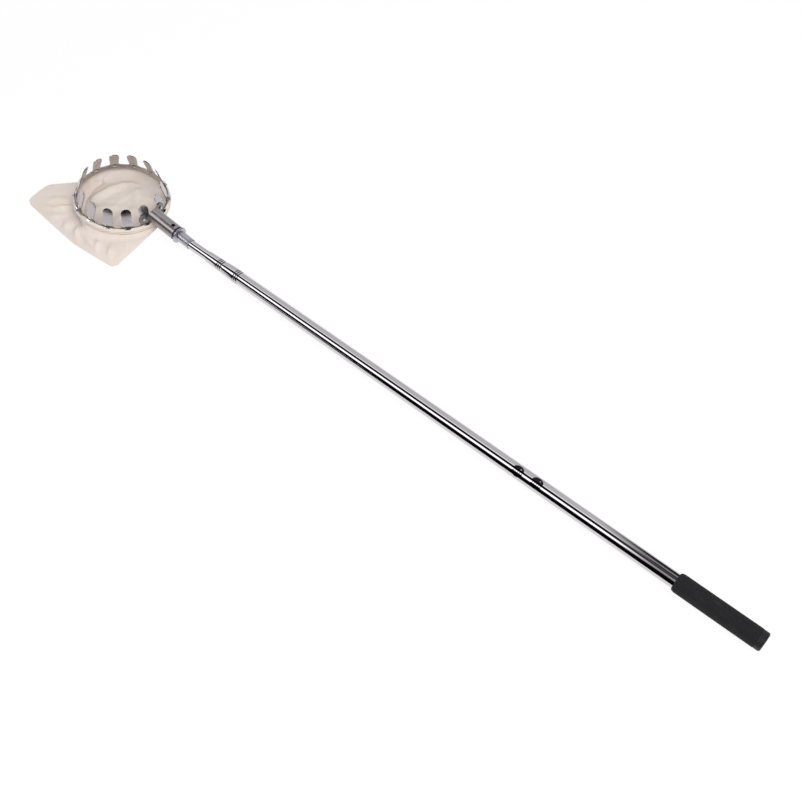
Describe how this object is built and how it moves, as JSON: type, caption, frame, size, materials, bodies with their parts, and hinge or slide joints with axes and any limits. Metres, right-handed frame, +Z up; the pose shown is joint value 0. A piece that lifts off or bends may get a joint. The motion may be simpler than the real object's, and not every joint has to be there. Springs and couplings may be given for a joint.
{
  "type": "telescopic fruit picker",
  "caption": "Long telescopic polished steel pole with a black grip and a ring of upright sheet metal petals that carries a cream cotton bag, lying on the ground.",
  "frame": {"origin": "centre of the overall bounding box, at ground level", "axes": "+X along the pole from the petal ring to the grip, +Z up, +Y completes the right hand"},
  "size_m": [1.3374, 0.1968, 0.0626],
  "materials": {
    "polished_steel": "mirror polished stainless tube",
    "stamped_steel": "bright rolled stainless sheet",
    "zinc": "machined and zinc plated",
    "plain_steel": "turned steel",
    "cotton": "undyed plain-weave cotton",
    "grip_rubber": "matt foam-like rubber",
    "black_plastic": "moulded, matt",
    "nylon": "moulded, natural"
  },
  "bodies": {
    "pole": {"main_tube": "polished_steel", "main_mouth_bush": "nylon", "grip_sleeve": "grip_rubber", "grip_end_cap": "black_plastic"},
    "mid_lock": {"mid_lock_collet": "nylon"},
    "mid": {"mid_tube": "polished_steel", "mid_mouth_bush": "nylon", "mid_lock_plug": "plain_steel"},
    "inner_lock": {"inner_lock_collet": "nylon"},
    "head": {"inner_tube": "polished_steel", "inner_lock_plug": "plain_steel", "lock_collar": "zinc", "threaded_stud": "plain_steel", "head_washer": "plain_steel", "socket_insert": "plain_steel", "socket_set_screw": "plain_steel", "socket_sleeve": "polished_steel", "ear_rivet_near": "plain_steel", "ear_rivet_far": "plain_steel", "picking_ring": "stamped_steel", "hem_wire": "plain_steel", "cloth_bag": "cotton"}
  },
  "joints": [
    {"name": "mid_slide", "type": "slide", "parent": "pole", "child": "mid_lock", "axis": [-1, 0, 0], "range_m": [0, 0.85]},
    {"name": "mid_twist", "type": "hinge", "parent": "mid_lock", "child": "mid", "pos_m": [0, 0.0216, 0.014], "axis": [1, 0, 0], "range_deg": [-180, 180]},
    {"name": "inner_slide", "type": "slide", "parent": "mid", "child": "inner_lock", "axis": [-1, 0, 0], "range_m": [0, 0.84]},
    {"name": "inner_twist", "type": "hinge", "parent": "inner_lock", "child": "head", "pos_m": [0, 0.0216, 0.014], "axis": [1, 0, 0], "range_deg": [-180, 180]}
  ]
}
